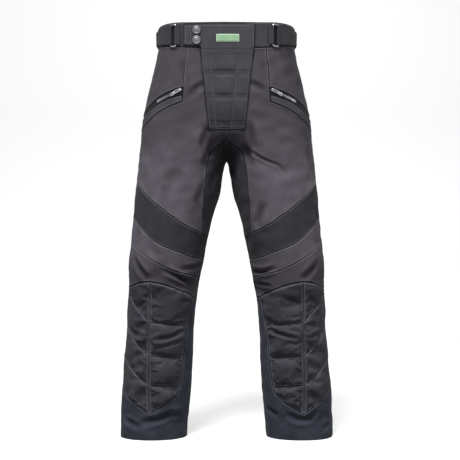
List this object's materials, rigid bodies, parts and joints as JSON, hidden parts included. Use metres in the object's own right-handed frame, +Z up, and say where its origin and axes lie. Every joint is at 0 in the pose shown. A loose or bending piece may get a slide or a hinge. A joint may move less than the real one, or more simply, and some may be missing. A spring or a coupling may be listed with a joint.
{
  "type": "paintball trousers",
  "caption": "Padded paintball trousers filled out as if worn, with quilted fly flap, side straps, slanted zip pockets and quilted knee pads.",
  "frame": {"origin": "middle of the waist opening, level with the waistband's top edge", "axes": "+Z up, from the hems to the waist; the front faces -Y; +X is to the right in the picture, the wearer's left"},
  "size_m": [0.55, 0.2751, 1.0496],
  "materials": {
    "mainCloth": "matt woven nylon and polyester canvas",
    "stretchCloth": "matt dark stretch cloth",
    "waistCloth": "matt woven canvas",
    "padCloth": "quilted woven canvas over foam",
    "shinCloth": "tight woven canvas with a cool sheen",
    "label": "woven label, plain",
    "zipTape": "woven zip tape",
    "strap": "woven elastic strap",
    "ringSteel": "plated steel wire",
    "snapMetal": "dull gunmetal cap",
    "zipMetal": "cast zinc, nickel plated"
  },
  "bodies": {
    "garment": {"waistband_back": "waistCloth", "fly_pad": "waistCloth", "fly_tab": "waistCloth", "waist_label": "label", "snap_upper": "snapMetal", "snap_lower": "snapMetal", "hip_yoke_left": "mainCloth", "hip_yoke_right": "mainCloth", "front_panel_left": "mainCloth", "front_panel_right": "mainCloth", "inner_thigh_left": "stretchCloth", "inner_thigh_right": "stretchCloth", "thigh_band_left": "stretchCloth", "thigh_band_right": "stretchCloth", "knee_yoke_upper_left": "mainCloth", "knee_yoke_upper_right": "mainCloth", "knee_yoke_lower_left": "mainCloth", "knee_yoke_lower_right": "mainCloth", "back_panel_left": "mainCloth", "back_panel_right": "mainCloth", "pocket_zip_left": "zipTape", "pocket_zip_right": "zipTape", "pocket_welt_left": "waistCloth", "pocket_welt_right": "waistCloth", "knee_pad_left": "padCloth", "knee_pad_right": "padCloth", "shin_front_left": "shinCloth", "shin_front_right": "shinCloth", "waistband_front_left": "waistCloth", "waistband_front_right": "waistCloth", "strap_left": "strap", "strap_right": "strap", "strap_loop_left": "waistCloth", "strap_loop_right": "waistCloth", "strap_ring_left": "ringSteel", "strap_ring_right": "ringSteel", "zip_slider_left": "zipMetal", "zip_slider_right": "zipMetal"},
    "pull_left": {"zip_pull_left": "zipMetal"},
    "pull_right": {"zip_pull_right": "zipMetal"}
  },
  "joints": [
    {"name": "pull_hinge_left", "type": "hinge", "parent": "garment", "child": "pull_left", "pos_m": [-0.13596, -0.12247, -0.17837], "axis": [0.4415, -0.1484, -0.8849], "range_deg": [0, 165]},
    {"name": "pull_hinge_right", "type": "hinge", "parent": "garment", "child": "pull_right", "pos_m": [0.13596, -0.12247, -0.17837], "axis": [0.4415, 0.1484, 0.8849], "range_deg": [0, 165]}
  ]
}
